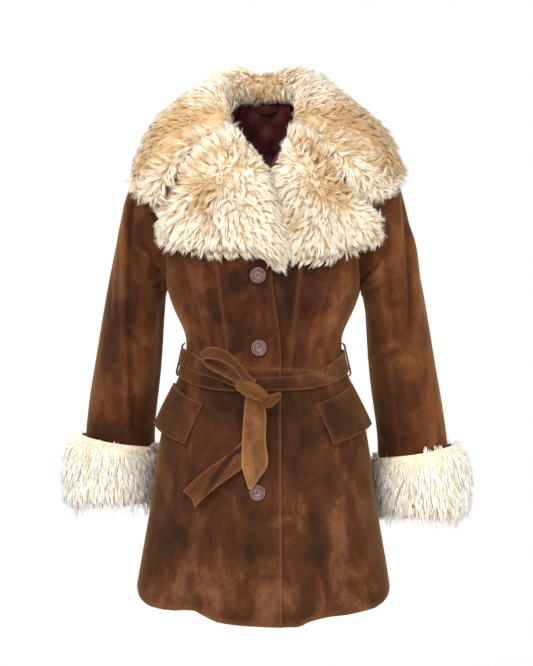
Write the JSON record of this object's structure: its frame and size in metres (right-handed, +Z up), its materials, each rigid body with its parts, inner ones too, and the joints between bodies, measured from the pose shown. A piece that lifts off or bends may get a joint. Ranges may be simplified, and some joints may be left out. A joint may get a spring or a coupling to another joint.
{
  "type": "belted suede coat with fur collar and cuffs",
  "caption": "Hollow belted suede coat in its worn shape, with a wide fur collar and lapels, fur cuffs, slanted pocket flaps and a tied belt.",
  "frame": {"origin": "middle of the neck, where the wearer's neck and shoulders hold the coat", "axes": "+Z up, the front faces -Y, +X is the wearer's left"},
  "size_m": [0.6822, 0.3185, 0.8726],
  "materials": {
    "suede": "napped",
    "sleeve_suede": "napped",
    "collar_fur": "long pile",
    "cuff_fur": "long pile",
    "lining": "quilted satin",
    "button": "polished"
  },
  "bodies": {
    "root": {"bodice_front_centre_right": "suede", "bodice_front_middle_right": "suede", "bodice_front_side_right": "suede", "bodice_front_centre_left": "suede", "bodice_front_middle_left": "suede", "bodice_front_side_left": "suede", "bodice_back": "suede", "skirt_front_right": "suede", "skirt_front_left": "suede", "skirt_back": "suede", "sleeve_top_right": "sleeve_suede", "sleeve_under_right": "sleeve_suede", "sleeve_top_left": "sleeve_suede", "sleeve_under_left": "sleeve_suede", "cuff_right": "cuff_fur", "cuff_left": "cuff_fur", "collar": "collar_fur", "lapel_right": "collar_fur", "lapel_left": "collar_fur", "pocket_flap_right": "suede", "pocket_flap_left": "suede", "belt_back": "suede", "belt_front_right": "suede", "belt_front_left": "suede", "belt_knot": "suede", "belt_bow_loop": "suede", "belt_hanging_end": "suede", "belt_curled_end": "suede", "belt_loop_right": "suede", "belt_loop_left": "suede", "button_1": "button", "button_2": "button", "button_3": "button", "button_4": "button", "lining_back_neck": "lining", "hanger_loop": "suede"}
  },
  "joints": []
}
